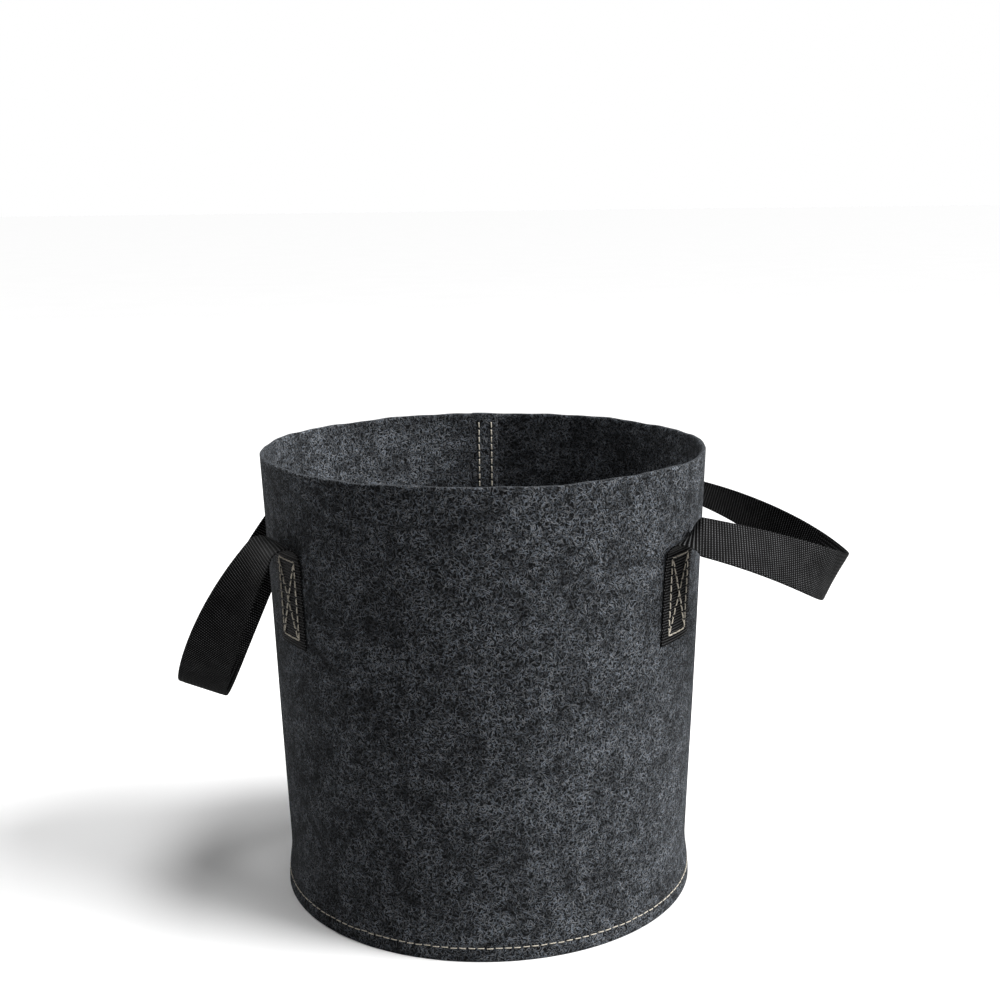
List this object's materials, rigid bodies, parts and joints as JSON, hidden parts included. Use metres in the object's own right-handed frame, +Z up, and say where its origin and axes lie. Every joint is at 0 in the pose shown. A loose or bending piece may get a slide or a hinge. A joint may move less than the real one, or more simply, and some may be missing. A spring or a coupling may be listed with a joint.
{
  "type": "fabric grow bag",
  "caption": "Round open-topped felt grow bag for potting plants, with a sewn-in base and webbing carrying handles that swing at its sides.",
  "frame": {"origin": "centre of the base, on the ground", "axes": "+Z up the bag's axis, -Y towards the front, +X towards the right-hand handle"},
  "size_m": [0.4946, 0.3232, 0.325],
  "materials": {
    "felt": "matt needle-punched felt",
    "webbing": "woven, slight sheen",
    "thread": "matt twisted thread"
  },
  "bodies": {
    "bag": {"side_wall": "felt", "base_panel": "felt", "base_seam_outer_thread": "thread", "base_seam_inner_thread": "thread", "side_seam_outer_thread": "thread", "side_seam_inner_thread": "thread", "left_front_tab": "webbing", "left_rear_tab": "webbing", "right_front_tab": "webbing", "right_rear_tab": "webbing", "left_front_fold": "webbing", "left_rear_fold": "webbing", "right_front_fold": "webbing", "right_rear_fold": "webbing", "left_front_box_outer_thread": "thread", "left_front_box_inner_thread": "thread", "left_rear_box_outer_thread": "thread", "left_rear_box_inner_thread": "thread", "right_front_box_outer_thread": "thread", "right_front_box_inner_thread": "thread", "right_rear_box_outer_thread": "thread", "right_rear_box_inner_thread": "thread"},
    "left_handle": {"left_loop": "webbing"},
    "right_handle": {"right_loop": "webbing"}
  },
  "joints": [
    {"name": "left_handle_swing", "type": "hinge", "parent": "bag", "child": "left_handle", "pos_m": [-0.141, 0, 0.266], "axis": [0, 1, 0], "range_deg": [-14, 128], "deforming": ["left_front_fold", "left_rear_fold"]},
    {"name": "right_handle_swing", "type": "hinge", "parent": "bag", "child": "right_handle", "pos_m": [0.141, 0, 0.266], "axis": [0, -1, 0], "range_deg": [-52, 98], "deforming": ["right_front_fold", "right_rear_fold"]}
  ]
}
